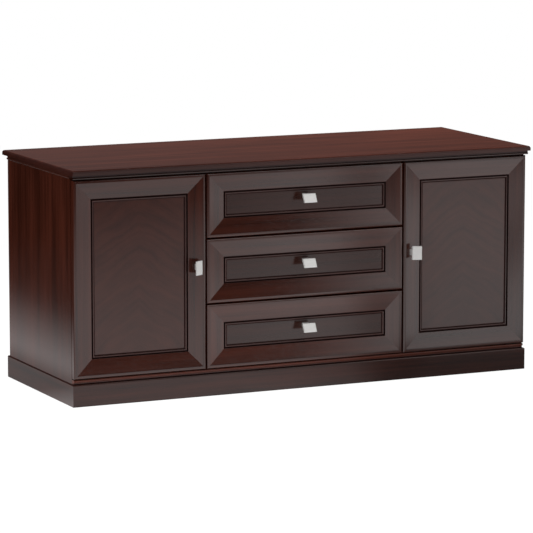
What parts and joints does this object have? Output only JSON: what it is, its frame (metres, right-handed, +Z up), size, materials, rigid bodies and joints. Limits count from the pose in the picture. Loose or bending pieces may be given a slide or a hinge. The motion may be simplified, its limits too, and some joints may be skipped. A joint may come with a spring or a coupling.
{
  "type": "sideboard",
  "caption": "Low free-standing office sideboard: framed hinged doors at both ends, a stack of framed drawers between them, overhanging top and plinth base.",
  "frame": {"origin": "on the floor, in the middle of the overall width and depth, pulls included", "axes": "+Z up, +X along the width to the right as seen from the front, +Y from the front to the back"},
  "size_m": [1.648, 0.6548, 0.762],
  "materials": {
    "top_veneer": "dark red-brown stained veneer under satin lacquer",
    "side_veneer": "dark red-brown stained veneer, grain upright, satin lacquer",
    "moulding_wood": "dark stained solid wood, satin lacquer",
    "plinth_wood": "dark stained wood, satin lacquer",
    "frame_wood": "dark stained frame moulding, satin lacquer",
    "door_panel_veneer": "book-matched diagonal veneer, dark stain, satin lacquer",
    "drawer_panel_veneer": "dark stained veneer, satin lacquer",
    "carcass_board": "dark stained board inside the case",
    "inner_wood": "plain unfinished glue blocks",
    "back_board": "dark stained hardboard back",
    "drawer_box_wood": "clear lacquered drawer sides",
    "drawer_floor_board": "clear lacquered thin board",
    "pull_metal": "satin nickel",
    "fitting_steel": "plain zinc plated steel",
    "hinge_bronze": "dark bronzed steel",
    "runner_steel": "zinc plated folded steel",
    "catch_plastic": "dark brown moulded plastic"
  },
  "bodies": {
    "case": {"top_slab": "top_veneer", "cornice_front": "moulding_wood", "cornice_ends": "moulding_wood", "base_strip": "moulding_wood", "left_side_panel": "side_veneer", "right_side_panel": "side_veneer", "plinth_front": "plinth_wood", "plinth_ends": "plinth_wood", "plinth_back": "plinth_wood", "plinth_corner_blocks": "inner_wood", "left_divider": "carcass_board", "right_divider": "carcass_board", "bottom_panel": "carcass_board", "front_top_rail": "carcass_board", "rear_top_rail": "carcass_board", "left_shelf": "carcass_board", "right_shelf": "carcass_board", "back_panel": "back_board", "shelf_supports": "fitting_steel", "case_hinge_leaves": "hinge_bronze", "case_runners": "runner_steel", "door_catches": "catch_plastic"},
    "left_door": {"left_door_rails": "frame_wood", "left_door_stiles": "frame_wood", "left_door_panel": "door_panel_veneer", "left_door_pull": "pull_metal", "left_door_hinge_leaves": "hinge_bronze", "left_door_strike": "fitting_steel"},
    "right_door": {"right_door_rails": "frame_wood", "right_door_stiles": "frame_wood", "right_door_panel": "door_panel_veneer", "right_door_pull": "pull_metal", "right_door_hinge_leaves": "hinge_bronze", "right_door_strike": "fitting_steel"},
    "lower_drawer": {"lower_drawer_rails": "frame_wood", "lower_drawer_stiles": "frame_wood", "lower_drawer_panel": "drawer_panel_veneer", "lower_drawer_pull": "pull_metal", "lower_drawer_box_sides": "drawer_box_wood", "lower_drawer_box_ends": "drawer_box_wood", "lower_drawer_box_floor": "drawer_floor_board", "lower_drawer_runners": "runner_steel"},
    "middle_drawer": {"middle_drawer_rails": "frame_wood", "middle_drawer_stiles": "frame_wood", "middle_drawer_panel": "drawer_panel_veneer", "middle_drawer_pull": "pull_metal", "middle_drawer_box_sides": "drawer_box_wood", "middle_drawer_box_ends": "drawer_box_wood", "middle_drawer_box_floor": "drawer_floor_board", "middle_drawer_runners": "runner_steel"},
    "upper_drawer": {"upper_drawer_rails": "frame_wood", "upper_drawer_stiles": "frame_wood", "upper_drawer_panel": "drawer_panel_veneer", "upper_drawer_pull": "pull_metal", "upper_drawer_box_sides": "drawer_box_wood", "upper_drawer_box_ends": "drawer_box_wood", "upper_drawer_box_floor": "drawer_floor_board", "upper_drawer_runners": "runner_steel"}
  },
  "joints": [
    {"name": "left_door_swing", "type": "hinge", "parent": "case", "child": "left_door", "pos_m": [-0.808, -0.2802, 0.40925], "axis": [0, 0, -1], "range_deg": [0, 105]},
    {"name": "right_door_swing", "type": "hinge", "parent": "case", "child": "right_door", "pos_m": [0.808, -0.2802, 0.40925], "axis": [0, 0, 1], "range_deg": [0, 105]},
    {"name": "lower_drawer_slide", "type": "slide", "parent": "case", "child": "lower_drawer", "axis": [0, -1, 0], "range_m": [0, 0.36]},
    {"name": "middle_drawer_slide", "type": "slide", "parent": "case", "child": "middle_drawer", "axis": [0, -1, 0], "range_m": [0, 0.36]},
    {"name": "upper_drawer_slide", "type": "slide", "parent": "case", "child": "upper_drawer", "axis": [0, -1, 0], "range_m": [0, 0.36]}
  ]
}
